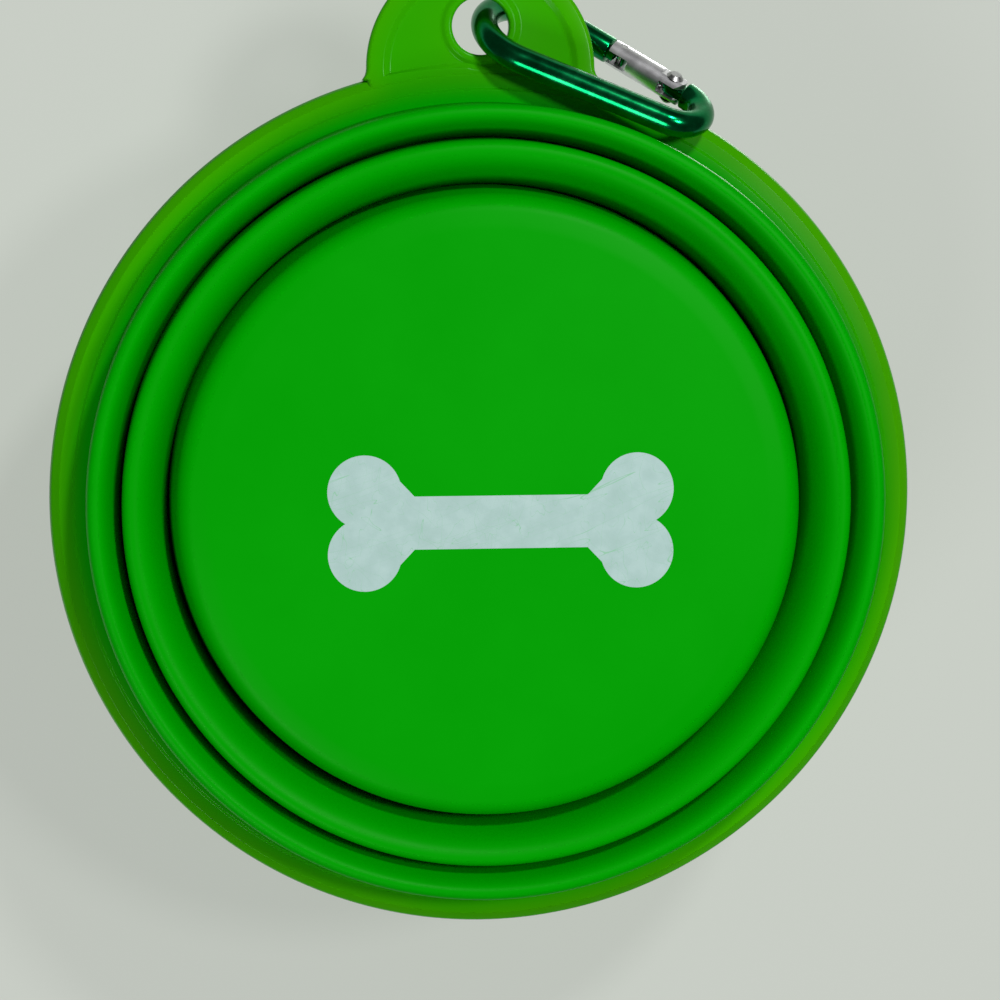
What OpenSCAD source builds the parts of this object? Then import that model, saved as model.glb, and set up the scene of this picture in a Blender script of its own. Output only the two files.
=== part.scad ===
// Collapsible travel bowl, folded flat, with a hanging tab and a snap hook.
// The bowl stands on its foot at z = 0 and opens upwards; the tab points to -Y.

/* [Bowl] */
// Diameter of the base
base_d = 91.6; // [80:1:120]
// Thickness of the base over its foot
base_t = 2.6; // [2:0.1:4]
// Width of the band round the flat foot, where the base rises off the table
foot_band = 4.6; // [3.2:0.1:8]
// How far the base rises across that band, before its rounded edge
foot_rise = 0.25; // [0.1:0.05:0.5]
// Rounding of the base's outer edge
base_edge_r = 2.4; // [1.2:0.1:3]
// Rounding between the floor and the wall inside
floor_fillet_r = 3.2; // [1:0.1:6]
// Thickness of the three rings
wall_t = 1.7; // [1.3:0.1:2.2]
// How much further out the base's wall stands at its top than at its foot
base_lean = 1.6; // [0.5:0.1:2]
// How much further out the two rings stand at their tops than at their feet
wall_lean = 0.5; // [0.2:0.1:1]
// Height of the folded bowl
folded_h = 13.4; // [11:0.1:18]
// Height of the rings' lower edges over the table
ring_lift = 0.6; // [0.3:0.1:1.5]
// How far the rings' upper edges lie below the rim
ring_drop = 0.2; // [0.1:0.1:0.6]

/* [Folds] */
// Thickness of the folding walls, measured level
fold_t = 1.0; // [0.7:0.1:1.4]
// Radial step from the base to the middle ring
lower_step = 7.9; // [7:0.1:12]
// Radial step from the middle ring to the upper ring
upper_step = 5.2; // [5:0.1:10]

/* [Rim] */
// Radial step from the upper ring's foot to the rim's edge
rim_w = 6.0; // [5:0.1:9]
// Thickness of the rim
rim_t = 2.8; // [2.4:0.1:4]
// Rounding of the rim's lower edge
rim_lower_r = 1.6; // [0.8:0.1:1.7]
// Rounding of the rim's upper edge
rim_upper_r = 1.0; // [0.5:0.1:1.1]
// Width of the low band under the rim, next to the upper ring
seat_w = 1.7; // [1:0.1:2.2]
// Height of that band
seat_h = 0.3; // [0.1:0.05:0.6]
// Width of the upper ring's tongue in the rim
tongue_w = 0.7; // [0.4:0.1:0.9]
// Height of that tongue
tongue_h = 1.4; // [0.8:0.1:1.8]

/* [Tab] */
// Radius of the hanging tab
tab_r = 16.9; // [13:0.1:22]
// How far the tab's centre lies inside the rim's edge
tab_inset = 0.6; // [0:0.1:3]
// Thickness of the tab at its border
tab_t = 2.4; // [2:0.1:2.8]
// Width of the tab's raised border
tab_border = 3.0; // [2:0.1:4.5]
// Depth of the panel inside the border, on each side
tab_recess = 0.5; // [0.2:0.05:0.7]
// Rounding where the tab meets the rim
tab_fillet = 2.6; // [1:0.1:5]
// Diameter of the hanging hole
hole_d = 8.4; // [7.8:0.1:10]
// How far the hole's centre lies beyond the rim's edge
hole_out = 5.5; // [4.5:0.1:6.5]
// Width of the raised lip round the hole
hole_lip = 1.1; // [0.6:0.1:2]

/* [Print] */
// Length of the printed bone
bone_l = 50.8; // [30:0.1:70]
// Height of the printed bone over its lobes
bone_h = 20.0; // [17:0.1:24]
// Radius of the lobes
lobe_r = 5.4; // [5.1:0.1:7]
// Height of the bone's shaft
shaft_h = 7.8; // [5:0.1:9]
// Thickness of the ink
ink_t = 0.06; // [0.03:0.01:0.15]
// How far the print sits off the bowl's middle, to the right and away from the tab
print_shift = [1.4, 1.8];
// Turn of the print on the base
print_turn = 0.4; // [-5:0.1:5]

/* [Snap hook] */
// Overall length of the hook
hook_l = 39.0; // [37:0.1:42]
// Diameter of its wire
wire_d = 4.0; // [3.6:0.1:4.2]
// Bend radius of the wide end, along the wire's middle
wide_r = 7.8; // [7.4:0.1:8.6]
// Bend radius of the narrow end, along the wire's middle
narrow_r = 4.5; // [4.2:0.1:4.7]
// Distance from the gate's rivet to the nose
gate_reach = 10.6; // [9.5:0.1:12]
// Gap between the nose and the closed gate
nose_gap = 0.4; // [0.25:0.05:0.6]
// How far the rivet stands off the narrow bend
rivet_off = 2.6; // [2.4:0.1:3.2]
// Diameter of the rivet
rivet_d = 1.6; // [1.2:0.1:1.8]
// Diameter of the rivet's heads
rivet_head_d = 2.6; // [2.2:0.1:3]
// Height of each rivet head
rivet_head_h = 0.5; // [0.3:0.05:0.8]
// Diameter of the latch pin in the gate
latch_d = 1.1; // [0.8:0.1:1.2]
// Thickness of the tongues at the nose and at the rivet
hook_tongue_t = 1.4; // [1:0.1:1.6]
// Height of the tongues
hook_tongue_h = 2.6; // [2.4:0.1:2.8]
// Length of the nose's tongue
nose_tongue_l = 3.0; // [2.6:0.1:3.4]
// Clearance between a tongue and its slot, on each side
slot_gap = 0.25; // [0.15:0.05:0.35]
// Radial clearance of the gate on its rivet
rivet_gap = 0.05; // [0.02:0.01:0.08]

/* [Place of the snap hook] */
// Distance from the rim's edge to the middle of the narrow bend, before the hook leans
narrow_off = 2.9; // [2.8:0.1:5]
// How far the hook's plane leans away from the bowl
hook_lean = 34; // [33:0.5:36]
// How far its spine falls towards the narrow end
hook_fall = 10; // [9:0.5:11]
// Where the wire passes the hole, measured from the hole's centre
wire_off = [1.1, -1.45];
// How far the wire's middle lies over the rim's top there
wire_up = 0.7; // [0.6:0.1:1]

/* [Hidden] */
$fn = 96;
over = 1;  // overrun of the cuts
arc_steps = 7;

base_r = base_d / 2;
middle_r = base_r + lower_step;
upper_r = middle_r + upper_step;
rim_r = upper_r + rim_w;
base_top_r = base_r + base_lean;
middle_top_r = middle_r + wall_lean;
crest_r = (wall_t + fold_t) / 2;
foot_z = ring_lift + crest_r;
shoulder_z = folded_h - ring_drop - crest_r;
rim_z = folded_h - rim_t;

tab_y = -(rim_r - tab_inset);
hole_y = -(rim_r + hole_out);
tab_z = rim_z + (rim_t - tab_t) / 2;
tab_root_r = upper_r + (rim_r - upper_r) / 2;
// The tab's fillets run into the rim a little inside its edge
fillet_sink = 0.25;

wire_r = wire_d / 2;
wire_hair = 0.01;
spine_l = hook_l - wire_d - wide_r - narrow_r;
// Angle at which the gate's side runs in towards the spine
gate_angle = 2 * asin((wide_r - narrow_r) / norm([spine_l, wide_r - narrow_r]));
side_l = spine_l;
rivet_at = side_l - rivet_off;
nose_at = rivet_at - gate_reach - nose_gap;
// Turn of the hook that keeps its narrow bend off the rim
reach = wide_r + spine_l;
hook_turn = asin((pow(reach, 2) + pow(hole_y, 2) - pow(rim_r + narrow_off, 2)) / (-2 * reach * hole_y));
slot_t = hook_tongue_t + 2 * slot_gap;
gate_end_r = wire_r;
// The bone's flares, as shares of the lobe's radius from its centre
neck_share = 1.35;
flare_shares = [0.85, 0.4];
latch_at = 1.9;  // from the nose's end to the latch pin
latch_play = 0.2;  // between the pin and the sides of its notch
cheek_t = 0.85;  // thickness of the gate's cheeks at the rivet
spring_d = 1.8;
spring_bore_gap = 0.1;
spring_end_gap = 0.3;  // between the slots and the spring's chamber
plunger_l = 1.1;

function arc(centre, r, from, to) = [
    for (i = [0:arc_steps])
        let (a = from + (to - from) * i / arc_steps) centre + r * [cos(a), sin(a)]
];

function backwards(points) = [for (i = [len(points) - 1:-1:0]) points[i]];

// The roll of a ring and its fold, a quarter of an ellipse from the ring's crest up to the fold's root
function roll(crest, root_r, from, to) = [
    for (i = [0:arc_steps])
        let (a = from + (to - from) * i / arc_steps)
            [crest - (crest - root_r) * sin(a), shoulder_z - (shoulder_z - ring_lift) * cos(a)]
];

// Angle on the ellipse at which the ring ends and its fold begins
fold_from = acos((shoulder_z - foot_z) / (shoulder_z - ring_lift));

// The foot of a ring: from its outer side, round its crest, to where the fold from root_r meets it
function ring_foot(r, root_r) = concat(
    arc([r - crest_r, foot_z], crest_r, 0, -90),
    [for (p = roll(r - crest_r, root_r, 0, fold_from)) if (p.x < r - crest_r) p]
);

// The rounded top of a ring, where the next fold hangs: from its inner side, over it, outwards
function ring_shoulder(top_r) = arc([top_r - wall_t + crest_r, shoulder_z], crest_r, 180, 0);

// A folding wall between the top of one ring, at root_r, and the foot of the next
module fold(root_r, outer_r) {
    side = roll(outer_r - crest_r, root_r, fold_from, 90);
    rotate_extrude()
        polygon(concat(side, [for (p = backwards(side)) p + [fold_t, 0]]));
}

module base_cup() {
    edge_at = [base_r - base_edge_r, foot_rise + base_edge_r];
    fillet_at = [base_r - wall_t - floor_fillet_r, base_t + floor_fillet_r];
    color([0.0, 0.62, 0.02])
        difference() {
            rotate_extrude()
                polygon(concat(
                    [[0, 0], [base_r - foot_band, 0]],
                    arc(edge_at, base_edge_r, -90, 0),
                    [[base_top_r, shoulder_z]],
                    backwards(ring_shoulder(base_top_r)),
                    arc(fillet_at, floor_fillet_r, 0, -90),
                    [[0, base_t]]
                ));
            translate([0, 0, -over])
                bone(ink_t + over);
        }
}

// The shaft of the bone with the short flares that run into its four lobes
module bone_shaft(lobe_x, lobe_y) {
    neck_x = lobe_x - neck_share * lobe_r;
    flare = [lobe_x - flare_shares.x * lobe_r, lobe_y + flare_shares.y * lobe_r];
    polygon([
        [-neck_x, shaft_h / 2], [neck_x, shaft_h / 2], flare, [lobe_x, lobe_y],
        [lobe_x, -lobe_y], [flare.x, -flare.y], [neck_x, -shaft_h / 2], [-neck_x, -shaft_h / 2],
        -flare, [-lobe_x, -lobe_y], [-lobe_x, lobe_y], [-flare.x, flare.y]
    ]);
}

module bone(h) {
    lobe_x = bone_l / 2 - lobe_r;
    lobe_y = bone_h / 2 - lobe_r;
    translate(print_shift)
        rotate([0, 0, print_turn]) {
            linear_extrude(height = h)
                bone_shaft(lobe_x, lobe_y);
            for (x = [-1, 1], y = [-1, 1])
                translate([x * lobe_x, y * lobe_y, 0])
                    cylinder(h = h, r = lobe_r);
        }
}

// The ink lies in the face of the base, flush with it
module bone_print() {
    color([0.72, 0.82, 0.80])
        bone(ink_t);
}

module lower_fold() {
    color([0.0, 0.50, 0.02])
        fold(base_top_r, middle_r);
}

module middle_ring() {
    color([0.0, 0.62, 0.02])
        rotate_extrude()
            polygon(concat(
                ring_foot(middle_r, base_top_r),
                [[middle_r - wall_t, foot_z]],
                ring_shoulder(middle_top_r),
                [[middle_top_r, shoulder_z]]
            ));
}

module upper_fold() {
    color([0.0, 0.50, 0.02])
        fold(middle_top_r, upper_r);
}

// Radius of the upper ring's outer side where it meets the rim
function upper_ring_r() = upper_r + wall_lean * (rim_z - foot_z) / (shoulder_z - foot_z);

module upper_ring() {
    top_r = upper_ring_r();
    tongue_r = top_r - (wall_t + tongue_w) / 2;
    color([0.0, 0.62, 0.02])
        rotate_extrude()
            polygon(concat(
                ring_foot(upper_r, middle_top_r),
                [
                    [upper_r - wall_t, foot_z], [top_r - wall_t, rim_z], [tongue_r, rim_z],
                    [tongue_r, rim_z + tongue_h], [tongue_r + tongue_w, rim_z + tongue_h],
                    [tongue_r + tongue_w, rim_z], [top_r, rim_z]
                ]
            ));
}

module rim_section() {
    top_r = upper_ring_r();
    inner_r = top_r - wall_t;
    tongue_r = top_r - (wall_t + tongue_w) / 2;
    polygon(concat(
        [
            [inner_r, rim_z], [tongue_r, rim_z], [tongue_r, rim_z + tongue_h],
            [tongue_r + tongue_w, rim_z + tongue_h], [tongue_r + tongue_w, rim_z], [top_r, rim_z],
            [top_r, rim_z - seat_h], [top_r + seat_w, rim_z - seat_h], [top_r + seat_w, rim_z]
        ],
        arc([rim_r - rim_lower_r, rim_z + rim_lower_r], rim_lower_r, -90, 0),
        arc([rim_r - rim_upper_r, folded_h - rim_upper_r], rim_upper_r, 0, 90),
        arc([inner_r + rim_upper_r, folded_h - rim_upper_r], rim_upper_r, 90, 180)
    ));
}

// The corner between the rim and the tab, filled out to a rounding
module tab_corner() {
    a = rim_r - fillet_sink;
    b = tab_r;
    d = -tab_y;
    ca = a + tab_fillet;
    cb = b + tab_fillet;
    cy = (d * d + ca * ca - cb * cb) / (2 * d);
    c = [sqrt(ca * ca - cy * cy), -cy];
    iy = (d * d + a * a - b * b) / (2 * d);
    on_rim = c * a / ca;
    on_tab = [0, tab_y] + (c - [0, tab_y]) * b / cb;
    crossing = [sqrt(a * a - iy * iy), -iy];
    inside = crossing * (tab_root_r / a);
    difference() {
        polygon([c, on_rim, inside, on_tab]);
        translate(c)
            circle(r = tab_fillet);
    }
}

module tab_outline() {
    difference() {
        union() {
            translate([0, tab_y])
                circle(r = tab_r);
            tab_corner();
            mirror([1, 0])
                tab_corner();
        }
        circle(r = tab_root_r);
    }
}

module tab_panel() {
    difference() {
        translate([0, tab_y])
            circle(r = tab_r - tab_border);
        circle(r = rim_r);
        translate([0, hole_y])
            circle(r = hole_d / 2 + hole_lip);
    }
}

module rim_and_tab() {
    color([0.22, 0.62, 0.02]) {
        difference() {
            union() {
                rotate_extrude()
                    rim_section();
                translate([0, 0, tab_z])
                    linear_extrude(height = tab_t)
                        tab_outline();
            }
            for (z = [tab_z - over, tab_z + tab_t - tab_recess])
                translate([0, 0, z])
                    linear_extrude(height = tab_recess + over)
                        tab_panel();
            translate([0, hole_y, tab_z - over])
                cylinder(h = tab_t + 2 * over, d = hole_d);
        }
    }
}

// Puts the hook, drawn in its own plane round the centre of its wide bend, where it hangs in the hole
module hang() {
    translate([wire_off.x, hole_y + wire_off.y, folded_h + wire_up])
        rotate([0, 0, hook_turn])
            rotate([90 + hook_lean, 0, 0])
                rotate([0, 0, -hook_fall])
                    translate([wide_r, 0, 0])
                        children();
}

// Runs along the gate's side of the hook: x counts from the end of the wide bend
module on_side(x) {
    rotate([0, 0, -gate_angle])
        translate([x, wide_r, 0])
            children();
}

// Straight wire along x, a hair slimmer than its bends so that it seats inside their ends
module wire(l) {
    rotate([0, 90, 0])
        cylinder(h = l, r = wire_r - wire_hair);
}

module bend(r, from, to) {
    rotate([0, 0, from])
        rotate_extrude(angle = to - from)
            translate([r, 0])
                circle(r = wire_r);
}

module nose_tongue() {
    notch_w = latch_d + 2 * latch_play;
    notch_top = latch_d / 2 + latch_play / 2;
    difference() {
        translate([-wire_r / 2, -hook_tongue_h / 2, -hook_tongue_t / 2])
            cube([nose_tongue_l + wire_r / 2, hook_tongue_h, hook_tongue_t]);
        translate([latch_at - notch_w / 2, -hook_tongue_h, -hook_tongue_t])
            cube([notch_w, hook_tongue_h + notch_top, 2 * hook_tongue_t]);
    }
}

module rivet_tongue() {
    difference() {
        union() {
            translate([0, -hook_tongue_h / 2, -hook_tongue_t / 2])
                cube([rivet_off + wire_r / 2, hook_tongue_h, hook_tongue_t]);
            cylinder(h = hook_tongue_t, d = hook_tongue_h, center = true);
        }
        cylinder(h = hook_tongue_t + 2 * over, d = rivet_d, center = true);
    }
}

module hook_frame() {
    color([0.0, 0.38, 0.14])
        hang() {
            on_side(0)
                wire(nose_at);
            on_side(nose_at)
                nose_tongue();
            bend(wide_r, 90 - gate_angle, 270);
            translate([0, -wide_r, 0])
                wire(spine_l);
            translate([spine_l, narrow_r - wide_r, 0])
                bend(narrow_r, -90, 90 - gate_angle);
            on_side(rivet_at)
                rivet_tongue();
        }
}

// Length of the gate between its two slots
function gate_core_from() = nose_at + nose_tongue_l + 2 * nose_gap;
function gate_core_to() = rivet_at - hook_tongue_h / 2 - spring_end_gap;

module hook_gate() {
    gate_from = nose_at + nose_gap;
    chamber_from = gate_core_from() + spring_end_gap;
    color([0.78, 0.79, 0.80])
        hang()
            on_side(0)
                difference() {
                    union() {
                        translate([gate_from, 0, 0])
                            wire(rivet_at - gate_from);
                        translate([rivet_at, 0, 0])
                            intersection() {
                                cylinder(h = wire_d, r = gate_end_r, center = true);
                                rotate([0, 90, 0])
                                    cylinder(h = wire_d, r = wire_r, center = true);
                            }
                    }
                    translate([gate_from - over, -wire_d, -slot_t / 2])
                        cube([gate_core_from() - gate_from + over, 2 * wire_d, slot_t]);
                    translate([gate_core_to(), -wire_d, -slot_t / 2])
                        cube([wire_d + over + gate_end_r, 2 * wire_d, slot_t]);
                    for (s = [0, 1])
                        mirror([0, 0, s])
                            translate([rivet_at - gate_end_r, -wire_d, slot_t / 2 + cheek_t])
                                cube([2 * gate_end_r + over, 2 * wire_d, wire_d]);
                    translate([rivet_at, 0, 0])
                        cylinder(h = wire_d + 2 * over, r = rivet_d / 2 + rivet_gap, center = true);
                    translate([nose_at + latch_at, 0, 0])
                        cylinder(h = wire_d + 2 * over, d = latch_d, center = true);
                    translate([chamber_from, 0, 0])
                        rotate([0, 90, 0])
                            cylinder(
                                h = gate_core_to() - chamber_from + over,
                                d = spring_d + 2 * spring_bore_gap
                            );
                }
}

module gate_rivet() {
    cheek_z = slot_t / 2 + cheek_t + rivet_gap;
    color([0.45, 0.46, 0.47])
        hang()
            on_side(rivet_at) {
                cylinder(h = 2 * cheek_z, d = rivet_d, center = true);
                for (s = [0, 1])
                    mirror([0, 0, s])
                        translate([0, 0, cheek_z])
                            cylinder(h = rivet_head_h, d1 = rivet_head_d, d2 = rivet_d);
            }
}

module latch_pin() {
    color([0.55, 0.56, 0.57])
        hang()
            on_side(nose_at + latch_at)
                cylinder(h = wire_d * cos(asin(latch_d / wire_d)), d = latch_d, center = true);
}

module gate_spring() {
    chamber_from = gate_core_from() + spring_end_gap;
    color([0.50, 0.51, 0.52])
        hang()
            on_side(chamber_from)
                rotate([0, 90, 0])
                    difference() {
                        cylinder(h = gate_core_to() - chamber_from - plunger_l, d = spring_d);
                        translate([0, 0, -over])
                            cylinder(h = side_l, d = spring_d / 2);
                    }
}

module spring_plunger() {
    color([0.50, 0.51, 0.52])
        hang()
            on_side(gate_core_to() - plunger_l)
                rotate([0, 90, 0])
                    cylinder(h = plunger_l + spring_end_gap - rivet_gap, d = spring_d);
}

base_cup();
bone_print();
lower_fold();
middle_ring();
upper_fold();
upper_ring();
rim_and_tab();
hook_frame();
hook_gate();
gate_rivet();
latch_pin();
gate_spring();
spring_plunger();
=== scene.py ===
"""Looks of a folding silicone travel bowl, folded flat and seen from below, with its tab and snap hook."""

import math

import bmesh
import bpy
from mathutils import Matrix, Vector


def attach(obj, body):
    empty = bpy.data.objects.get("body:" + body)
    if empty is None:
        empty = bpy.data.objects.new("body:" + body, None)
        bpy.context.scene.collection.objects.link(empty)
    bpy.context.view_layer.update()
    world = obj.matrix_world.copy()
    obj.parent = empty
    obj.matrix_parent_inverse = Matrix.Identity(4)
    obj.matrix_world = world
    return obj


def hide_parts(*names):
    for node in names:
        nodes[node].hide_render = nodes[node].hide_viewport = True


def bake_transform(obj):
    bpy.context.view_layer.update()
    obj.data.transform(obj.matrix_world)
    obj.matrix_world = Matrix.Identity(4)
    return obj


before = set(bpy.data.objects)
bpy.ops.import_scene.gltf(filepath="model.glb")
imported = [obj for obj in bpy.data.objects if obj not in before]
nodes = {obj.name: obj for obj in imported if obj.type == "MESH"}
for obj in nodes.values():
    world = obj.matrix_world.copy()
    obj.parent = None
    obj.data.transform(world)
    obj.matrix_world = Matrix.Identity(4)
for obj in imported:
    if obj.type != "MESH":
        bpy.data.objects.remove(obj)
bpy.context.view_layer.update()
MM = 0.001

# Bowl, in millimetres as on the drawing: radii at the feet of the walls, thicknesses, leans and heights
BASE_R, MIDDLE_R, UPPER_R, RIM_R = 45.8, 53.7, 58.9, 64.9
BASE_T, WALL_T, FOLD_T = 2.6, 1.7, 1.0
BASE_LEAN, WALL_LEAN = 1.6, 0.5
FOOT_Z, SHOULDER_Z, RIM_Z, TOP_Z = 1.95, 11.85, 10.6, 13.4
BASE_TOP_R, MIDDLE_TOP_R = BASE_R + BASE_LEAN, MIDDLE_R + WALL_LEAN
UPPER_TOP_R = UPPER_R + WALL_LEAN * (RIM_Z - FOOT_Z) / (SHOULDER_Z - FOOT_Z)
CREST_R = (WALL_T + FOLD_T) / 2
LIFT = FOOT_Z - CREST_R
PRINT_R, PRINT_LIFT = 30.0, 0.03  # the face behind the print sits this much higher, so that the ink shows

# Tab
TAB_Y, TAB_R, TAB_LOW, TAB_HIGH = -64.3, 16.9, 10.8, 13.2
TAB_BORDER, TAB_RECESS, TAB_FILLET, TAB_ROOT_R = 3.0, 0.5, 2.6, 61.9
HOLE_Y, HOLE_R, LIP_R = -70.4, 4.2, 5.3

# Snap hook, drawn in its own plane round the centre of its wide bend
WIRE_R, WIDE_R, NARROW_R, SPINE_L = 2.0, 7.8, 4.5, 22.7
GATE_ANGLE = 2 * math.asin((WIDE_R - NARROW_R) / math.hypot(SPINE_L, WIDE_R - NARROW_R))
GATE_L, RIVET_IN = 11.0, 2.6
RIVET_AT = SPINE_L - RIVET_IN
NOSE_AT = RIVET_AT - GATE_L
TONGUE_HALF, TONGUE_T = 1.3, 1.4
LATCH_IN, NOTCH_W, NOTCH_TOP = 1.9, 1.5, 0.65

# How the hook hangs: turned in the hole until its far end comes this near to the rim
REACH, RIM_CLEARANCE = WIDE_R + SPINE_L, 2.9
HOOK_TURN = math.asin((REACH ** 2 + HOLE_Y ** 2 - (RIM_R + RIM_CLEARANCE) ** 2) / (-2 * REACH * HOLE_Y))
HOOK_LEAN, HOOK_FALL = math.radians(124), math.radians(-10)
HOOK_PLACE = (1.1, HOLE_Y - 1.45, TOP_Z + 0.7)
HANG = (
    Matrix.Scale(MM, 4)
    @ Matrix.Translation(HOOK_PLACE)
    @ Matrix.Rotation(HOOK_TURN, 4, "Z")
    @ Matrix.Rotation(HOOK_LEAN, 4, "X")
    @ Matrix.Rotation(HOOK_FALL, 4, "Z")
    @ Matrix.Translation((WIDE_R, 0, 0))
)
SIDE = Matrix.Rotation(-GATE_ANGLE, 4, "Z") @ Matrix.Translation((0, WIDE_R, 0))


# Camera, standing under the floor at the photograph's angle

def set_camera():
    """Looks up at the bowl's foot, a little from the side, with the axis where the photograph has it."""
    tilt, roll, distance, lens_px = math.radians(8.5), math.radians(-0.55), 400.0, 2660.0
    frame_px, sensor, aim_height = 1000.0, 36.0, 11.5
    axis_x, axis_y = 485.2, 500.7  # where the bowl's axis shows in the frame
    towards = Vector((-0.6 * math.sin(tilt), -0.8 * math.sin(tilt), -math.cos(tilt)))
    right = (-towards).cross(Vector((0, -1, 0))).normalized()
    up = right.cross(-towards)
    right, up = (
        right * math.cos(roll) + up * math.sin(roll),
        up * math.cos(roll) - right * math.sin(roll),
    )
    shift = Vector((axis_x - frame_px / 2, axis_y - frame_px / 2)) * distance / lens_px
    place = Vector((0, 0, aim_height)) + towards * distance - right * shift.x + up * shift.y
    data = bpy.data.cameras.new("camera")
    data.sensor_width = sensor
    data.lens = lens_px / frame_px * sensor
    data.clip_start, data.clip_end = 0.01, 10.0
    camera = bpy.data.objects.new("camera", data)
    turn = Matrix((right, up, towards)).transposed().to_4x4()
    camera.matrix_world = Matrix.Translation(place * MM) @ turn
    bpy.context.scene.collection.objects.link(camera)
    bpy.context.scene.camera = camera


# Shader parts that more than one finish uses

def new_group(name, inputs, outputs):
    """A node group from (label, kind, value) inputs and (label, kind) outputs."""
    tree = bpy.data.node_groups.new(name, "ShaderNodeTree")
    for label, kind, value in inputs:
        socket = tree.interface.new_socket(label, in_out="INPUT", socket_type="NodeSocket" + kind)
        socket.default_value = value
    for label, kind in outputs:
        tree.interface.new_socket(label, in_out="OUTPUT", socket_type="NodeSocket" + kind)
    return tree, tree.nodes.new("NodeGroupInput"), tree.nodes.new("NodeGroupOutput")


def add_node(tree, kind, values=None, **settings):
    """Adds a node, with each of its inputs linked or set to a value."""
    node = tree.nodes.new("ShaderNode" + kind)
    for key, value in settings.items():
        setattr(node, key, value)
    for key, value in (values or {}).items():
        if isinstance(value, bpy.types.NodeSocket):
            tree.links.new(value, node.inputs[key])
        else:
            node.inputs[key].default_value = value
    return node


def mix_colours(tree, factor, first, second):
    node = add_node(tree, "Mix", {0: factor, 6: first, 7: second}, data_type="RGBA")
    return node.outputs[2]


def make_cloudy():
    """A colour that drifts between three tones in soft clouds, as moulded rubber and plastic do."""
    tree, inp, out = new_group(
        "cloudy_colour",
        [
            ("Coordinates", "Vector", (0, 0, 0)),
            ("Main", "Color", (0, 0, 0, 1)),
            ("Light", "Color", (0, 0, 0, 1)),
            ("Dark", "Color", (0, 0, 0, 1)),
            ("Cloud Scale", "Float", 40.0),
        ],
        [("Color", "Color"), ("Clouds", "Float")],
    )
    noise = add_node(
        tree, "TexNoise",
        {"Vector": inp.outputs["Coordinates"], "Scale": inp.outputs["Cloud Scale"], "Detail": 4.0, "Roughness": 0.55},
    )
    low = add_node(
        tree, "MapRange",
        {"Value": noise.outputs["Fac"], "From Min": 0.30, "From Max": 0.55, "To Min": 1.0, "To Max": 0.0},
    )
    high = add_node(tree, "MapRange", {"Value": noise.outputs["Fac"], "From Min": 0.50, "From Max": 0.75})
    colour = mix_colours(tree, low.outputs["Result"], inp.outputs["Main"], inp.outputs["Dark"])
    colour = mix_colours(tree, high.outputs["Result"], colour, inp.outputs["Light"])
    tree.links.new(colour, out.inputs["Color"])
    tree.links.new(noise.outputs["Fac"], out.inputs["Clouds"])
    return tree


def make_specks():
    """A mask of small scattered specks, such as dust on rubber."""
    tree, inp, out = new_group(
        "dust_specks",
        [
            ("Coordinates", "Vector", (0, 0, 0)),
            ("Spacing Scale", "Float", 120.0),
            ("Size", "Float", 0.03),
            ("Share", "Float", 0.1),
        ],
        [("Mask", "Float")],
    )
    cells = add_node(tree, "TexVoronoi", {"Vector": inp.outputs["Coordinates"], "Scale": inp.outputs["Spacing Scale"]})
    near = add_node(tree, "Math", {0: cells.outputs["Distance"], 1: inp.outputs["Size"]}, operation="LESS_THAN")
    pick = add_node(tree, "SeparateColor", {"Color": cells.outputs["Color"]})
    some = add_node(tree, "Math", {0: pick.outputs["Red"], 1: inp.outputs["Share"]}, operation="LESS_THAN")
    both = add_node(tree, "Math", {0: near.outputs["Value"], 1: some.outputs["Value"]}, operation="MULTIPLY")
    tree.links.new(both.outputs["Value"], out.inputs["Mask"])
    return tree


def make_grain():
    """A height for the fine satin texture that a blasted mould leaves, with a coarser one under it."""
    coarser, coarse_weight = 0.12, 1.6
    tree, inp, out = new_group(
        "mould_grain",
        [("Coordinates", "Vector", (0, 0, 0)), ("Grain Scale", "Float", 5000.0)],
        [("Height", "Float")],
    )
    where, scale = inp.outputs["Coordinates"], inp.outputs["Grain Scale"]
    fine = add_node(tree, "TexNoise", {"Vector": where, "Scale": scale, "Detail": 2.0})
    coarse_scale = add_node(tree, "Math", {0: scale, 1: coarser}, operation="MULTIPLY").outputs["Value"]
    coarse = add_node(tree, "TexNoise", {"Vector": where, "Scale": coarse_scale, "Detail": 3.0})
    total = add_node(
        tree, "Math", {0: coarse.outputs["Fac"], 1: coarse_weight, 2: fine.outputs["Fac"]}, operation="MULTIPLY_ADD",
    )
    tree.links.new(total.outputs["Value"], out.inputs["Height"])
    return tree


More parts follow.
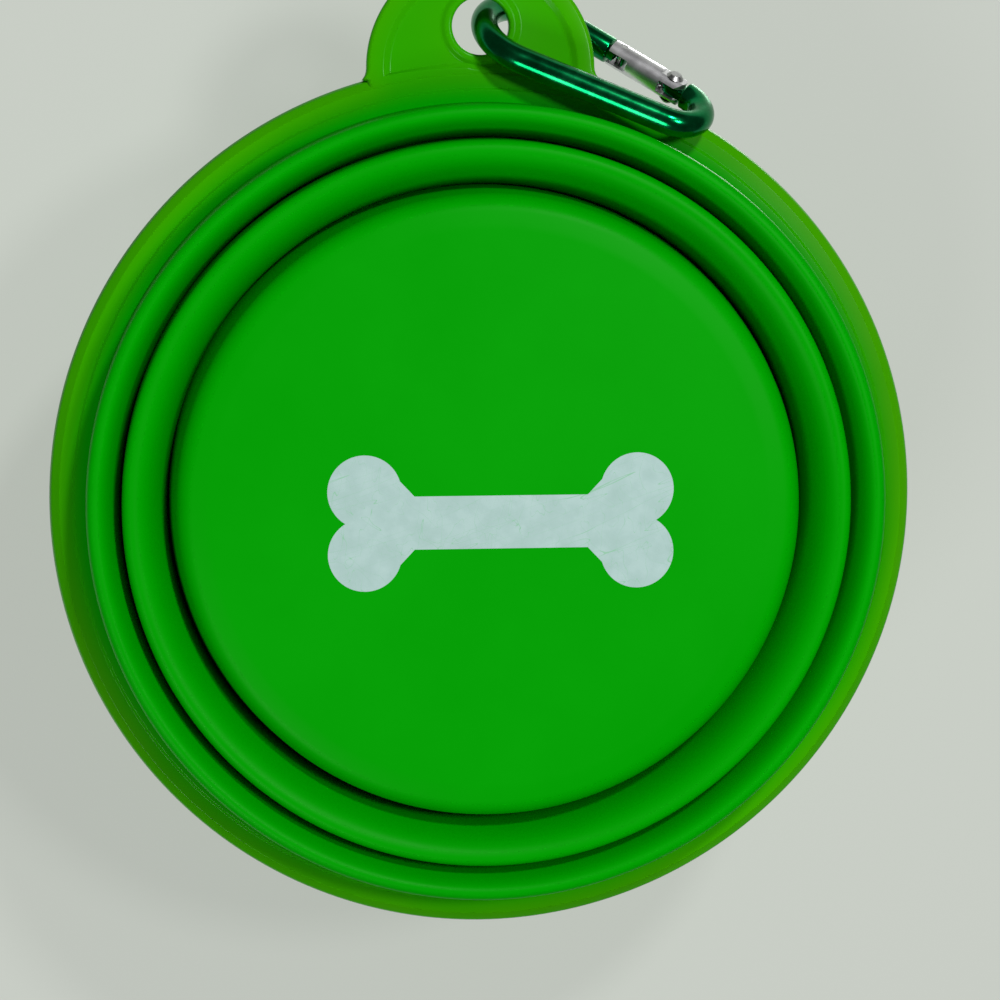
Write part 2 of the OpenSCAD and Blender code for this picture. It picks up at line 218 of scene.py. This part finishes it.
def make_scratches():
    """A mask of fine straight scratches in several directions."""
    drawn_out = (0.06, 1.0, 1.0)
    tree, inp, out = new_group(
        "fine_scratches",
        [("Coordinates", "Vector", (0, 0, 0)), ("Scratch Scale", "Float", 300.0), ("Width", "Float", 0.02)],
        [("Mask", "Float")],
    )
    total = None
    for turn in (0.35, 1.45, 2.5):
        turned_to = add_node(
            tree, "VectorRotate", {"Vector": inp.outputs["Coordinates"], "Angle": turn, "Axis": (0.2, 0.1, 1.0)},
            rotation_type="AXIS_ANGLE",
        )
        stretched = add_node(
            tree, "VectorMath", {0: turned_to.outputs["Vector"], 1: drawn_out}, operation="MULTIPLY",
        )
        noise = add_node(
            tree, "TexNoise",
            {"Vector": stretched.outputs["Vector"], "Scale": inp.outputs["Scratch Scale"], "Detail": 1.0},
        )
        centred = add_node(tree, "Math", {0: noise.outputs["Fac"], 1: 0.5}, operation="SUBTRACT")
        size = add_node(tree, "Math", {0: centred.outputs["Value"]}, operation="ABSOLUTE")
        line = add_node(tree, "Math", {0: size.outputs["Value"], 1: inp.outputs["Width"]}, operation="LESS_THAN")
        total = line.outputs["Value"] if total is None else add_node(
            tree, "Math", {0: total, 1: line.outputs["Value"]}, operation="MAXIMUM",
        ).outputs["Value"]
    tree.links.new(total, out.inputs["Mask"])
    return tree


def make_painted_rim_glow():
    """A share of painted glow, standing for light through the thin plastic, that grows outwards over the rim and is
    less on the tab.
    """
    tab_share, tab_from, tab_to = 0.62, 0.013, 0.017
    tree, inp, out = new_group(
        "painted_rim_glow",
        [("Coordinates", "Vector", (0, 0, 0)), ("Inner Radius", "Float", 0.0592), ("Outer Radius", "Float", 0.0640)],
        [("Share", "Float")],
    )
    level = add_node(tree, "VectorMath", {0: inp.outputs["Coordinates"], 1: (1, 1, 0)}, operation="MULTIPLY")
    radius = add_node(tree, "VectorMath", {0: level.outputs["Vector"]}, operation="LENGTH")
    inner, outer = inp.outputs["Inner Radius"], inp.outputs["Outer Radius"]
    out_there = add_node(
        tree, "MapRange", {"Value": radius.outputs["Value"], "From Min": inner, "From Max": outer},
        interpolation_type="SMOOTHSTEP",
    )
    from_tab = add_node(tree, "VectorMath", {0: level.outputs["Vector"], 1: (0, TAB_Y * MM, 0)}, operation="DISTANCE")
    tab = add_node(
        tree, "MapRange",
        {"Value": from_tab.outputs["Value"], "From Min": tab_from, "From Max": tab_to, "To Min": tab_share},
    )
    share = add_node(tree, "Math", {0: out_there.outputs["Result"], 1: tab.outputs["Result"]}, operation="MULTIPLY")
    tree.links.new(share.outputs["Value"], out.inputs["Share"])
    return tree


CLOUDY, SPECKS, GRAIN, SCRATCHES = make_cloudy(), make_specks(), make_grain(), make_scratches()
# The rim's painted glow: outwards its colour turns yellow-green as if lit through the thin plastic
PAINTED_RIM_GLOW = make_painted_rim_glow()


def place_group(tree, group, values):
    node = tree.nodes.new("ShaderNodeGroup")
    node.node_tree = group
    for key, value in values.items():
        if isinstance(value, bpy.types.NodeSocket):
            tree.links.new(value, node.inputs[key])
        else:
            node.inputs[key].default_value = value
    return node


def new_material(name, colour, **sockets):
    made = bpy.data.materials.new(name)
    made.use_nodes = True
    made.diffuse_color = (*colour, 1)
    tree = made.node_tree
    shader = tree.nodes["Principled BSDF"]
    shader.inputs["Base Color"].default_value = (*colour, 1)
    for key, value in sockets.items():
        shader.inputs[key.replace("_", " ")].default_value = value
    where = tree.nodes.new("ShaderNodeTexCoord").outputs["Object"]
    return made, tree, shader, where


# Finishes, each given its main, light and dark tone

DUST, RUBBED_INK = (0.62, 0.72, 0.60), (0.30, 0.56, 0.40)


def cloud_colour(tree, where, tones, cloud_scale):
    main, light, dark = ((*tone, 1) for tone in tones)
    return place_group(
        tree, CLOUDY,
        {"Coordinates": where, "Main": main, "Light": light, "Dark": dark, "Cloud Scale": cloud_scale},
    )


def cloud_roughness(tree, shader, cloudy, low, high, clouds_from=0.3, clouds_to=0.7):
    """Roughness that drifts with the clouds of the colour."""
    clouds = cloudy.outputs["Clouds"]
    rough = add_node(
        tree, "MapRange",
        {"Value": clouds, "From Min": clouds_from, "From Max": clouds_to, "To Min": low, "To Max": high},
    )
    tree.links.new(rough.outputs["Result"], shader.inputs["Roughness"])


def grain_bump(tree, shader, where, scale, height):
    """Mould grain of a height in millimetres."""
    grain = place_group(tree, GRAIN, {"Coordinates": where, "Grain Scale": scale})
    bump = add_node(tree, "Bump", {"Height": grain.outputs["Height"], "Strength": 1.0, "Distance": height * MM})
    tree.links.new(bump.outputs["Normal"], shader.inputs["Normal"])


def moulded(name, tones, roughness, grain_height, cloud_scale=40.0, dust=0.08, inner=None, **sockets):
    """Moulded silicone or plastic: cloudy colour, satin grain and a little dust, with another colour further in; the
    change to the outer tones is partly the plastic's own and partly painted glow.
    """
    made, tree, shader, where = new_material(name, tones[0], **sockets)
    cloudy = cloud_colour(tree, where, tones, cloud_scale)
    colour = cloudy.outputs["Color"]
    if inner:
        # Painted glow: outwards the colour turns lighter and yellower, as light through the thin rim makes it
        glow = place_group(tree, PAINTED_RIM_GLOW, {"Coordinates": where})
        colour = mix_colours(tree, glow.outputs["Share"], (*inner, 1), colour)
    specks = place_group(tree, SPECKS, {"Coordinates": where, "Spacing Scale": 170.0, "Size": 0.028, "Share": dust})
    colour = mix_colours(tree, specks.outputs["Mask"], colour, (*DUST, 1))
    tree.links.new(colour, shader.inputs["Base Color"])
    cloud_roughness(tree, shader, cloudy, low=roughness - 0.05, high=roughness + 0.06)
    grain_bump(tree, shader, where, scale=4200.0, height=grain_height)
    return made


silicone = moulded(
    "green_silicone", [(0.0, 0.34, 0.0), (0.0, 0.35, 0.0), (0.0, 0.33, 0.0)],
    roughness=0.42, grain_height=0.004, Specular_IOR_Level=0.04,
)
# The rim's tones are set lighter than the plastic, painted light that makes up for the shade the rings throw on the
# rim
rim_plastic = moulded(
    "yellow_green_rim", [(0.046, 0.365, 0.0), (0.058, 0.375, 0.0), (0.036, 0.35, 0.0)],
    roughness=0.17, grain_height=0.002, cloud_scale=25.0, dust=0.04, inner=(0.0, 0.33, 0.0),
    Specular_IOR_Level=0.05,
)


def printed_ink(name, tones, **sockets):
    """Flat pale ink, rubbed through to the green in hairline scratches."""
    made, tree, shader, where = new_material(name, tones[0], **sockets)
    cloudy = cloud_colour(tree, where, tones, cloud_scale=260.0)
    scratches = place_group(tree, SCRATCHES, {"Coordinates": where, "Scratch Scale": 420.0, "Width": 0.0016})
    worn = mix_colours(tree, scratches.outputs["Mask"], cloudy.outputs["Color"], (*RUBBED_INK, 1))
    tree.links.new(worn, shader.inputs["Base Color"])
    cloud_roughness(tree, shader, cloudy, low=0.40, high=0.62, clouds_from=0.0, clouds_to=1.0)
    grain_bump(tree, shader, where, scale=3200.0, height=0.003)
    return made


def metal(name, tones, rough):
    """Bare or anodised metal with fine scratches and clouded gloss."""
    scratch_share = 0.5
    made, tree, shader, where = new_material(name, tones[0], Metallic=1.0)
    cloudy = cloud_colour(tree, where, tones, cloud_scale=300.0)
    scratches = place_group(tree, SCRATCHES, {"Coordinates": where, "Scratch Scale": 900.0, "Width": 0.004})
    faint = add_node(tree, "Math", {0: scratches.outputs["Mask"], 1: scratch_share}, operation="MULTIPLY")
    colour = mix_colours(tree, faint.outputs["Value"], cloudy.outputs["Color"], (*tones[1], 1))
    tree.links.new(colour, shader.inputs["Base Color"])
    cloud_roughness(tree, shader, cloudy, *rough)
    grain_bump(tree, shader, where, scale=6000.0, height=0.0012)
    return made


ink = printed_ink("pale_ink", [(0.42, 0.59, 0.56), (0.46, 0.63, 0.60), (0.38, 0.55, 0.51)], Specular_IOR_Level=0.2)
anodised = metal(
    "green_anodised", [(0.002, 0.19, 0.055), (0.01, 0.28, 0.09), (0.0, 0.13, 0.035)], rough=(0.15, 0.24),
)
bare_aluminium = metal(
    "bare_aluminium", [(0.72, 0.71, 0.73), (0.84, 0.83, 0.85), (0.60, 0.59, 0.61)], rough=(0.36, 0.46),
)
steel = metal("rivet_steel", [(0.40, 0.40, 0.40), (0.60, 0.60, 0.60), (0.22, 0.22, 0.22)], rough=(0.26, 0.42))


# Shapes

SHARP_ANGLE = math.radians(35)


def finish_piece(name, bm, made, body, slot, *stands_for):
    """Turns a bmesh into a smooth piece that rides on a body when given one by name, or else is only set in place, and
    stands for its nodes.
    """
    mesh = bpy.data.meshes.new(name)
    bm.to_mesh(mesh)
    bm.free()
    mesh.shade_smooth()
    mesh.set_sharp_from_angle(angle=SHARP_ANGLE)
    mesh.materials.append(made)
    piece = bpy.data.objects.new(name, mesh)
    bpy.context.scene.collection.objects.link(piece)
    if isinstance(body, str):
        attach(piece, body)
    else:
        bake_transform(piece)
    if stands_for:
        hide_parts(*stands_for)


def round_corner(bm, corner, radius):
    """Rounds one corner of a wire profile to a radius."""
    one, two = ((e.other_vert(corner).co - corner.co).normalized() for e in corner.link_edges)
    reach = radius / math.tan(one.angle(two) / 2)
    bmesh.ops.bevel(
        bm, geom=[corner, *corner.link_edges], offset=reach, offset_type="OFFSET", segments=6,
        profile=0.5, affect="VERTICES", material=-1,
    )


def turned(bm, corners, closed=True, steps=240):
    """Turns a profile of (radius, height, rounding) corners, in millimetres, round the bowl's axis."""
    points = [bm.verts.new((r * MM, 0, z * MM)) for r, z, _ in corners]
    pairs = list(zip(points, points[1:] + points[:1]))
    for a, b in pairs if closed else pairs[:-1]:
        bm.edges.new((a, b))
    for point, (_, _, rounding) in zip(points, corners):
        if rounding:
            round_corner(bm, point, rounding * MM)
    bmesh.ops.spin(
        bm, geom=[*bm.verts, *bm.edges], cent=(0, 0, 0), axis=(0, 0, 1), angle=2 * math.pi,
        steps=steps, use_merge=True, use_duplicate=False,
    )
    bmesh.ops.remove_doubles(bm, verts=bm.verts, dist=1e-6)
    bmesh.ops.recalc_face_normals(bm, faces=bm.faces)


def shoulder(top_r):
    """The rounded top of a ring, from its outer side to its inner side, with the fold's outer half."""
    outer, inner, top = top_r + FOLD_T, top_r - WALL_T, SHOULDER_Z + CREST_R
    rounding = CREST_R * 0.999  # just short of a half circle, so that the two roundings stay apart
    return [(outer, SHOULDER_Z, 0), (outer, top, rounding), (inner, top, rounding), (inner, SHOULDER_Z, 0)]


def roll(r, root, start, end, steps):
    """The quarter ellipse from a ring's crest up to the root of its fold, as corners."""
    crest = r - CREST_R
    angles = [math.radians(start + (end - start) * k / steps) for k in range(steps + 1)]
    return [(crest - (crest - root) * math.sin(a), SHOULDER_Z - (SHOULDER_Z - LIFT) * math.cos(a), 0) for a in angles]


FOLD_FROM = math.degrees(math.acos((SHOULDER_Z - FOOT_Z) / (SHOULDER_Z - LIFT)))


def foot(r, root):
    """The rounded foot of a ring, from its inner side to its outer side."""
    turns = [math.radians(90 * k / 8) for k in range(1, 9)]
    outer = [(r - CREST_R + CREST_R * math.sin(a), FOOT_Z - CREST_R * math.cos(a), 0) for a in turns]
    return [*reversed(roll(r, root, 0, FOLD_FROM, 10)), *outer]


def make_cup():
    """The base, with the face behind its print, and the first ring."""
    flat_to, wall_from = (41.2, 0.0), (BASE_R - 0.1, 0.4)
    bm = bmesh.new()
    turned(bm, [
        (0, PRINT_LIFT, 0), (PRINT_R, PRINT_LIFT, 0), (*flat_to, 9.0), (*wall_from, 2.9), (BASE_TOP_R, SHOULDER_Z, 0),
        *shoulder(BASE_TOP_R), (BASE_R - WALL_T, BASE_T, 3.2), (0, BASE_T, 0),
    ], closed=False)
    finish_piece("cup", bm, silicone, "base", "silicone", "base_cup")


def make_middle_ring():
    bm = bmesh.new()
    turned(bm, [
        *foot(MIDDLE_R, BASE_TOP_R), (MIDDLE_TOP_R, SHOULDER_Z, 0), *shoulder(MIDDLE_TOP_R),
        (MIDDLE_R - WALL_T, FOOT_Z, 0),
    ])
    finish_piece("middle_band", bm, silicone, "middle", "silicone", "middle_ring")


def make_upper_ring():
    """The upper ring, with a tongue that reaches into the rim."""
    tongue_top = RIM_Z + 0.3
    bm = bmesh.new()
    turned(bm, [
        *foot(UPPER_R, MIDDLE_TOP_R), (UPPER_TOP_R, tongue_top, 0), (UPPER_TOP_R - WALL_T, tongue_top, 0),
        (UPPER_R - WALL_T, FOOT_Z, 0),
    ])
    finish_piece("upper_band", bm, silicone, "rim", "silicone", "upper_ring")


def make_fold(name, root, outer_r, lower_body, upper_body, node):
    """A folding wall that leaves the ring below it as one roll and hangs from the ring above it; the piece is set in
    place and rides on neither ring.
    """
    side = roll(outer_r, root, FOLD_FROM, 90, 20)
    bm = bmesh.new()
    turned(bm, [*side, *[(r + FOLD_T, z, 0) for r, z, _ in reversed(side)]])
    where = (lower_body, upper_body, (0, 0, SHOULDER_Z * MM), (0, 0, FOOT_Z * MM))
    finish_piece(name, bm, silicone, where, "silicone", node)


def make_rim():
    """The stiff flange: a low band against the upper ring, a flat underside and a sloped edge."""
    inner, against = UPPER_TOP_R - WALL_T, UPPER_TOP_R - 0.1
    band_r, band_low = UPPER_TOP_R + 1.7, RIM_Z - 0.3
    slope_from, slope_to = 63.3, 64.6
    bm = bmesh.new()
    turned(bm, [
        (inner, RIM_Z, 0), (against, RIM_Z, 0), (against, band_low, 0), (band_r, band_low, 0.28),
        (band_r + 0.35, RIM_Z, 0.3), (slope_from, RIM_Z, 0.3), (slope_to, RIM_Z + 1.0, 0.8),
        (RIM_R, RIM_Z + 1.9, 0.5), (RIM_R, TOP_Z, 1.0), (inner, TOP_Z, 1.0),
    ])
    finish_piece("rim", bm, rim_plastic, "rim", "rim", "rim_and_tab")


def first_hit(origin, direction, centre, radius, far=False):
    """Distance from a point to a circle along a direction, or None."""
    to = origin - centre
    b, c = to.dot(direction), to.length_squared - radius * radius
    under = b * b - c
    if under < 0:
        return None
    hits = [t for t in (-b - math.sqrt(under), -b + math.sqrt(under)) if t > 1e-6]
    return None if not hits else (max(hits) if far else min(hits))


def tab_reaches(angle):
    """Distances from the hole's centre to the panel's edge and to the tab's outline, in one direction."""
    past_rim, into_rim, round_lip = 0.2, 0.25, 0.7
    hole, middle, way = Vector((0, HOLE_Y)), Vector((0, TAB_Y)), Vector((math.cos(angle), math.sin(angle)))
    outline = first_hit(hole, way, middle, TAB_R, far=True)
    panel = first_hit(hole, way, middle, TAB_R - TAB_BORDER, far=True)
    rim = first_hit(hole, way, Vector((0, 0)), RIM_R)
    root = first_hit(hole, way, Vector((0, 0)), TAB_ROOT_R)
    if rim is not None:
        panel = min(panel, rim + past_rim)
    if root is not None:
        outline = min(outline, root)
    # The fillet into the rim, a circle that touches the tab and the rim
    near, far_r = RIM_R - into_rim + TAB_FILLET, TAB_R + TAB_FILLET
    cy = (TAB_Y ** 2 + near ** 2 - far_r ** 2) / (-2 * TAB_Y)
    for sign in (-1, 1):
        centre = Vector((sign * math.sqrt(near ** 2 - cy ** 2), -cy))
        touch_tab = middle + (centre - middle) * TAB_R / far_r
        touch_rim = centre * (near - TAB_FILLET) / near
        a, b = touch_tab - hole, touch_rim - hole
        if (a.x * way.y - a.y * way.x) * (b.x * way.y - b.y * way.x) < 0 and way.dot(centre - hole) > 0:
            outline = first_hit(hole, way, centre, TAB_FILLET) or outline
    return max(panel, LIP_R + round_lip), outline


def make_tab():
    """The hanging tab: turned round its hole, then drawn out to its outline."""
    panel, edge = 10.0, 14.0  # radii that the panel's edge and the outline are turned at
    panel_in, panel_out, lip_in, lip_out = panel - 0.5, panel + 0.5, LIP_R - 0.1, LIP_R + 0.6
    low, high = TAB_LOW + TAB_RECESS, TAB_HIGH - TAB_RECESS
    bm = bmesh.new()
    turned(bm, [
        (HOLE_R, TAB_LOW, 0.5), (lip_in, TAB_LOW, 0.8), (lip_out, low, 0.8), (panel_in, low, 1.3),
        (panel_out, TAB_LOW, 0.9), (edge, TAB_LOW, 0.8), (edge, TAB_HIGH, 0.6), (panel_out, TAB_HIGH, 0.9),
        (panel_in, high, 1.3), (lip_out, high, 0.8), (lip_in, TAB_HIGH, 0.8), (HOLE_R, TAB_HIGH, 0.5),
    ], steps=256)
    for v in bm.verts:
        flat = v.co.to_2d() / MM
        r, angle = flat.length, math.atan2(flat.y, flat.x)
        panel_at, edge_at = tab_reaches(angle)
        if r > (panel + edge) / 2:
            r += edge_at - edge
        elif r > (LIP_R + panel) / 2:
            r += panel_at - panel
        v.co.x, v.co.y = r * math.cos(angle) * MM, (HOLE_Y + r * math.sin(angle)) * MM
    finish_piece("tab", bm, rim_plastic, "rim", "rim")


def extrude_loop(bm, loop, move, grow=1.0, centre=(0, 0, 0)):
    """Draws an edge loop on by a move, growing or shrinking it round a centre first."""
    made = bmesh.ops.extrude_edge_only(bm, edges=loop)["geom"]
    verts = [g for g in made if isinstance(g, bmesh.types.BMVert)]
    centre = Vector(centre)
    for v in verts:
        v.co = centre + (v.co - centre) * grow + Vector(move)
    return [g for g in made if isinstance(g, bmesh.types.BMEdge)]


def bend_loop(bm, loop, centre, angle, steps):
    verts = list(dict.fromkeys(v for e in loop for v in e.verts))
    made = bmesh.ops.spin(
        bm, geom=[*verts, *loop], cent=centre, axis=(0, 0, 1), angle=angle, steps=steps, use_duplicate=False
    )["geom_last"]
    return [g for g in made if isinstance(g, bmesh.types.BMEdge)]


def wire_end(bm, loop, way, centre):
    """Closes a wire with an edge rounded in two steps and a flat face."""
    for gone, step, size in ((0.0, 0.14, 0.96), (0.14, 0.06, 0.90)):
        loop = extrude_loop(bm, loop, way * step, size, Vector(centre) + way * gone)
    bmesh.ops.contextual_create(bm, geom=loop)


def make_hook():
    """The bent wire, from its nose round the wide bend, along the spine and round the narrow bend."""
    bm = bmesh.new()
    along = SIDE.to_3x3() @ Vector((1, 0, 0))
    nose_side = NOSE_AT - 0.2  # the rounded edge takes the rest
    nose, end = SIDE @ Vector((nose_side, 0, 0)), SIDE @ Vector((SPINE_L, 0, 0))
    circle = bmesh.ops.create_circle(bm, segments=40, radius=WIRE_R)["verts"]
    start = list(dict.fromkeys(e for v in circle for e in v.link_edges))
    upright = Matrix.Rotation(-GATE_ANGLE, 4, "Z") @ Matrix.Rotation(math.pi / 2, 4, "Y")
    bmesh.ops.transform(bm, matrix=Matrix.Translation(nose) @ upright, verts=bm.verts)
    loop = extrude_loop(bm, start, -along * nose_side)
    loop = bend_loop(bm, loop, (0, 0, 0), math.pi + GATE_ANGLE, 72)
    loop = extrude_loop(bm, loop, (SPINE_L, 0, 0))
    loop = bend_loop(bm, loop, (SPINE_L, NARROW_R - WIDE_R, 0), math.pi - GATE_ANGLE, 60)
    wire_end(bm, loop, -along, end)
    wire_end(bm, start, along, nose)
    # The tongues that the gate closes over and turns on
    add_tongue(bm, NOSE_AT - 1.0, NOSE_AT + 3.0, notch=True)
    add_tongue(bm, RIVET_AT, SPINE_L + 1.0, notch=False)
    bmesh.ops.recalc_face_normals(bm, faces=bm.faces)
    bmesh.ops.transform(bm, matrix=HANG, verts=bm.verts)
    finish_piece("hook_wire", bm, anodised, "hook", "anodised", "hook_frame")


def add_tongue(bm, low, high, notch):
    """A flat tongue on the gate's side of the hook, with its notch or with its round end at the rivet."""
    part, half = bmesh.new(), TONGUE_HALF
    if notch:
        a, b = NOSE_AT + LATCH_IN - NOTCH_W / 2, NOSE_AT + LATCH_IN + NOTCH_W / 2
        outline = [
            (low, -half), (a, -half), (a, NOTCH_TOP), (b, NOTCH_TOP),
            (b, -half), (high, -half), (high, half), (low, half),
        ]
    else:
        turns = [k * math.pi / 12 for k in range(13)]
        outline = [*[(low - half * math.sin(a), -half * math.cos(a)) for a in turns], (high, half), (high, -half)]
    face = part.faces.new([part.verts.new((x, y, -TONGUE_T / 2)) for x, y in outline])
    grown = bmesh.ops.extrude_face_region(part, geom=[face])["geom"]
    bmesh.ops.translate(part, vec=(0, 0, TONGUE_T), verts=[g for g in grown if isinstance(g, bmesh.types.BMVert)])
    bmesh.ops.recalc_face_normals(part, faces=part.faces)
    bmesh.ops.bevel(
        part, geom=list(part.edges), offset=0.12, offset_type="OFFSET", segments=2, profile=0.5,
        affect="EDGES", material=-1,
    )
    bmesh.ops.transform(part, matrix=SIDE, verts=part.verts)
    mesh = bpy.data.meshes.new("tongue")
    part.to_mesh(mesh)
    part.free()
    bm.from_mesh(mesh)
    bpy.data.meshes.remove(mesh)


def dress_node(name, made):
    """Gives a piece that keeps its own mesh its finish."""
    node = nodes[name]
    node.data.materials.clear()
    node.data.materials.append(made)


make_cup()
make_middle_ring()
make_upper_ring()
make_fold("lower_fold_wall", BASE_TOP_R, MIDDLE_R, "base", "middle", "lower_fold")
make_fold("upper_fold_wall", MIDDLE_TOP_R, UPPER_R, "middle", "rim", "upper_fold")
make_rim()
make_tab()
make_hook()
dress_node("bone_print", ink)
dress_node("hook_gate", bare_aluminium)
for name in ("gate_rivet", "latch_pin", "gate_spring", "spring_plunger"):
    dress_node(name, steel)


# Stage: a floor seen only from above and a backdrop seen only from below

def one_sided(name, colour, glow):
    """Pale paint that only shows from its front; its glow keeps shadows on it soft and pale."""
    made, tree, shader, where = new_material(
        name, [c * (1 - glow) for c in colour], Roughness=0.9, Specular_IOR_Level=0.1,
        Emission_Color=(*colour, 1), Emission_Strength=glow,
    )
    clear = tree.nodes.new("ShaderNodeBsdfTransparent")
    pick = tree.nodes.new("ShaderNodeMixShader")
    side = tree.nodes.new("ShaderNodeNewGeometry")
    tree.links.new(side.outputs["Backfacing"], pick.inputs["Fac"])
    tree.links.new(shader.outputs["BSDF"], pick.inputs[1])
    tree.links.new(clear.outputs["BSDF"], pick.inputs[2])
    tree.links.new(pick.outputs["Shader"], tree.nodes["Material Output"].inputs["Surface"])
    noise = add_node(tree, "TexNoise", {"Vector": where, "Scale": 900.0, "Detail": 4.0})
    bump = add_node(tree, "Bump", {"Height": noise.outputs["Fac"], "Strength": 0.3, "Distance": 0.05 * MM})
    tree.links.new(bump.outputs["Normal"], shader.inputs["Normal"])
    return made


def stage_plane(name, height, facing_up, glow):
    """A wide pale plane that takes shadows but throws neither shadow nor light on the bowl."""
    pale_paint, half_size = (0.60, 0.63, 0.58), 3.0
    bm = bmesh.new()
    bmesh.ops.create_grid(bm, x_segments=1, y_segments=1, size=half_size)
    if not facing_up:
        bmesh.ops.reverse_faces(bm, faces=bm.faces)
    bmesh.ops.translate(bm, vec=(0, 0, height), verts=bm.verts)
    mesh = bpy.data.meshes.new(name)
    bm.to_mesh(mesh)
    bm.free()
    mesh.materials.append(one_sided(name + "_paint", pale_paint, glow))
    plane = bpy.data.objects.new(name, mesh)
    bpy.context.scene.collection.objects.link(plane)
    plane.visible_shadow = False
    plane.visible_diffuse = False
    plane.visible_glossy = not facing_up


def lamp(name, place, size, power):
    """A round soft lamp that looks at the bowl."""
    place, target = Vector(place), Vector((0, 0, 0.01))
    data = bpy.data.lights.new(name, "AREA")
    data.shape, data.size, data.energy = "DISK", size, power
    made = bpy.data.objects.new(name, data)
    made.location = place
    made.rotation_mode = "QUATERNION"
    made.rotation_quaternion = (place - target).to_track_quat("Z", "Y")
    made.visible_camera = False
    bpy.context.scene.collection.objects.link(made)


def set_world(colour, strength):
    world = bpy.data.worlds.new("world")
    world.use_nodes = True
    background = world.node_tree.nodes["Background"]
    background.inputs["Color"].default_value = (*colour, 1)
    background.inputs["Strength"].default_value = strength
    bpy.context.scene.world = world


stage_plane("floor", height=0.0, facing_up=True, glow=0.45)
stage_plane("backdrop", height=0.068, facing_up=False, glow=0.65)
# The lamps below stand outside what the rim's flat underside mirrors to the camera
lamp("key_below", (0.22, -0.44, -0.64), size=0.09, power=2.85)
lamp("front_below", (0.32, -0.15, -0.70), size=0.12, power=2.1)
lamp("fill_below", (-0.30, 0.38, -0.58), size=0.30, power=2.15)
lamp("key_above", (0.35, -0.45, 0.75), size=0.30, power=6.0)
lamp("fill_above", (-0.50, 0.25, 0.60), size=0.9, power=2.4)
set_world(colour=(0.80, 0.83, 0.80), strength=0.11)
bpy.context.scene.view_settings.view_transform = "Standard"

set_camera()
